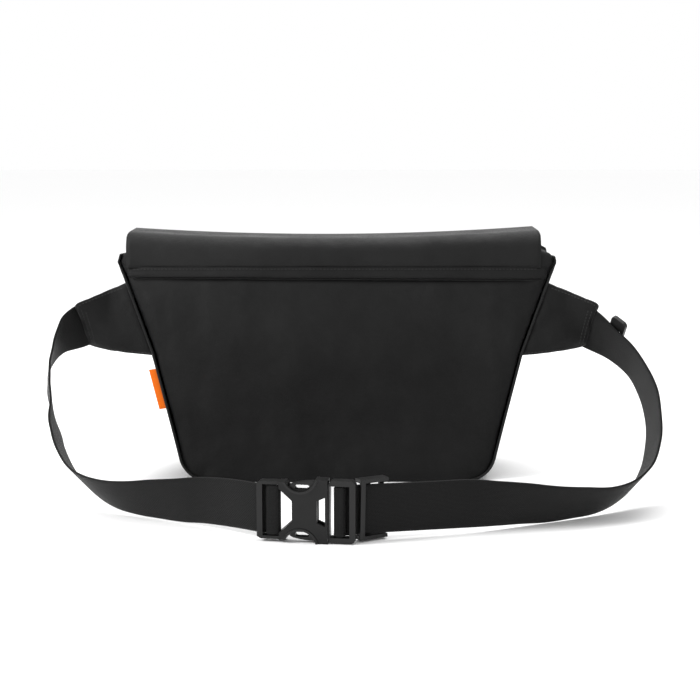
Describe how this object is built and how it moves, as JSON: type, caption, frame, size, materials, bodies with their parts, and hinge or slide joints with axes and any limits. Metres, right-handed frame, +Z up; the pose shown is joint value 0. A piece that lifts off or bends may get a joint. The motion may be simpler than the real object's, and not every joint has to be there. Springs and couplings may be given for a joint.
{
  "type": "waist bag",
  "caption": "Black waist-worn bag for a throw rope, with a wrap-over flap, hip wings and a webbing belt closed by a side-release buckle.",
  "frame": {"origin": "middle of the bag's base, on the surface it stands on", "axes": "+X along the bag's width, -Y towards the wearer and the buckle, +Z up out of the mouth"},
  "size_m": [0.5126, 0.2894, 0.2174],
  "materials": {
    "shell_cloth": "matt coated cloth",
    "flap_cloth": "matt coated cloth",
    "lining_cloth": "plain woven lining",
    "foam": "closed-cell foam",
    "seam_trim": "ribbed tape",
    "webbing": "woven webbing",
    "buckle_plastic": "fine moulded grain",
    "hook_tape": "hook tape",
    "loop_tape": "loop tape",
    "tag_tape": "woven orange tape"
  },
  "bodies": {
    "bag": {"back_panel": "shell_cloth", "back_foam": "foam", "back_piping": "seam_trim", "pocket_welt": "shell_cloth", "pocket_lining": "lining_cloth", "gusset": "shell_cloth", "front_panel": "shell_cloth", "lining": "lining_cloth", "mouth_binding": "seam_trim", "front_loop_left": "loop_tape", "front_loop_right": "loop_tape", "side_tag": "tag_tape", "wing_left": "shell_cloth", "wing_right": "shell_cloth", "wing_foam_left": "foam", "wing_foam_right": "foam", "belt_left": "webbing", "belt_right_rear": "webbing", "strap_keeper": "buckle_plastic", "buckle_female": "buckle_plastic", "webbing_fold_left": "webbing"},
    "flap": {"flap_cover": "flap_cloth", "flap_lining": "lining_cloth", "flap_hook_left": "hook_tape", "flap_hook_right": "hook_tape"},
    "buckle_male": {"buckle_male": "buckle_plastic", "webbing_fold_right": "webbing", "belt_right_front": "webbing"},
    "prong_upper": {"prong_upper": "buckle_plastic"},
    "prong_lower": {"prong_lower": "buckle_plastic"},
    "tri_glide": {"tri_glide": "buckle_plastic"}
  },
  "joints": [
    {"name": "flap_hinge", "type": "hinge", "parent": "bag", "child": "flap", "pos_m": [0, -0.0485, 0.188], "axis": [1, 0, 0], "range_deg": [0, 120]},
    {"name": "buckle_slide", "type": "slide", "parent": "bag", "child": "buckle_male", "axis": [0.9903, -0.1392, 0], "range_m": [0, 0.03]},
    {"name": "prong_upper_press", "type": "hinge", "parent": "buckle_male", "child": "prong_upper", "pos_m": [-0.00797, -0.23608, 0.0415], "axis": [-0.1392, -0.9903, 0], "range_deg": [0, 8], "stiffness_Nm_per_rad": 0.5},
    {"name": "prong_lower_press", "type": "hinge", "parent": "buckle_male", "child": "prong_lower", "pos_m": [-0.00797, -0.23608, 0.0075], "axis": [0.1392, 0.9903, 0], "range_deg": [0, 8], "stiffness_Nm_per_rad": 0.5},
    {"name": "tri_glide_slide", "type": "slide", "parent": "buckle_male", "child": "tri_glide", "axis": [0.9678, 0.2509, -0.0179], "range_m": [0, 0.045]}
  ]
}
